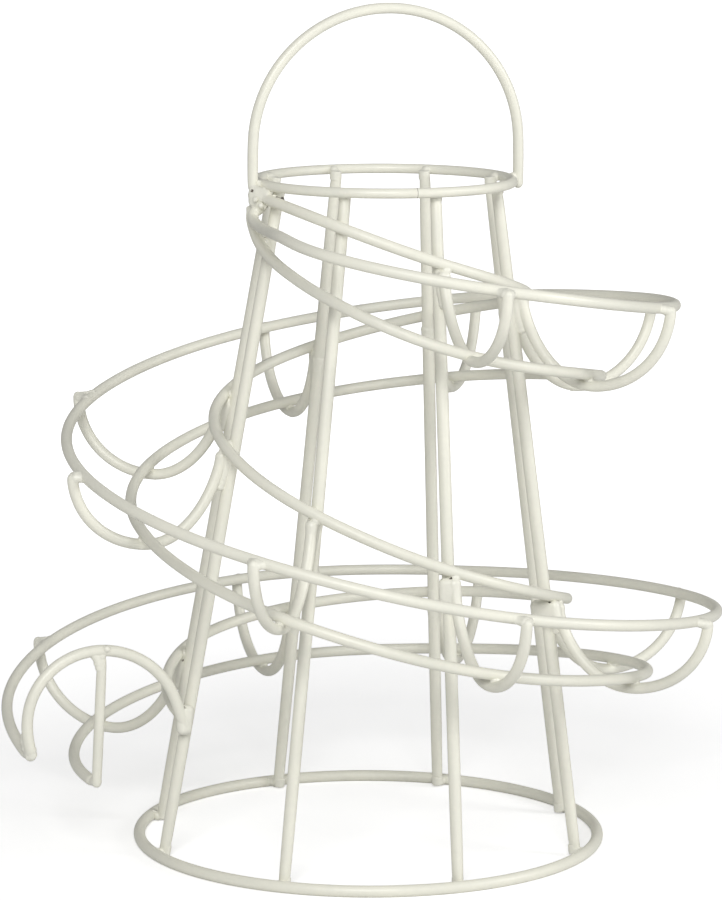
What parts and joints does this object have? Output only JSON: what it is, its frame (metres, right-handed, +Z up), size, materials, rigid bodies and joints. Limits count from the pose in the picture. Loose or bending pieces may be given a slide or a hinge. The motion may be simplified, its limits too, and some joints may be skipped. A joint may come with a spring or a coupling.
{
  "type": "rolling egg dispenser",
  "caption": "Freestanding welded wire egg rack: a tapered tower with a carrying bow and a spiral run of rails and hoops that rolls eggs down to a gate.",
  "frame": {"origin": "centre of the overall box in X and Y, at the underside of the base ring, which stands on the surface", "axes": "+Z up the tower; the gate at the low end of the run faces -Y, a little to -X of the tower"},
  "size_m": [0.3114, 0.299, 0.3624],
  "materials": {
    "cream_coat": "satin powder coat"
  },
  "bodies": {
    "root": {"base_ring": "cream_coat", "bottom_rail": "cream_coat", "gate_arch": "cream_coat", "gate_bar": "cream_coat", "handle": "cream_coat", "hoop_01": "cream_coat", "hoop_02": "cream_coat", "hoop_03": "cream_coat", "hoop_04": "cream_coat", "hoop_05": "cream_coat", "hoop_06": "cream_coat", "hoop_07": "cream_coat", "hoop_08": "cream_coat", "hoop_09": "cream_coat", "hoop_10": "cream_coat", "hoop_11": "cream_coat", "hoop_12": "cream_coat", "hoop_13": "cream_coat", "hoop_14": "cream_coat", "inner_rail": "cream_coat", "outer_rail": "cream_coat", "top_ring": "cream_coat", "upright_1": "cream_coat", "upright_2": "cream_coat", "upright_3": "cream_coat", "upright_4": "cream_coat", "upright_5": "cream_coat", "upright_6": "cream_coat", "upright_7": "cream_coat", "upright_8": "cream_coat"}
  },
  "joints": []
}
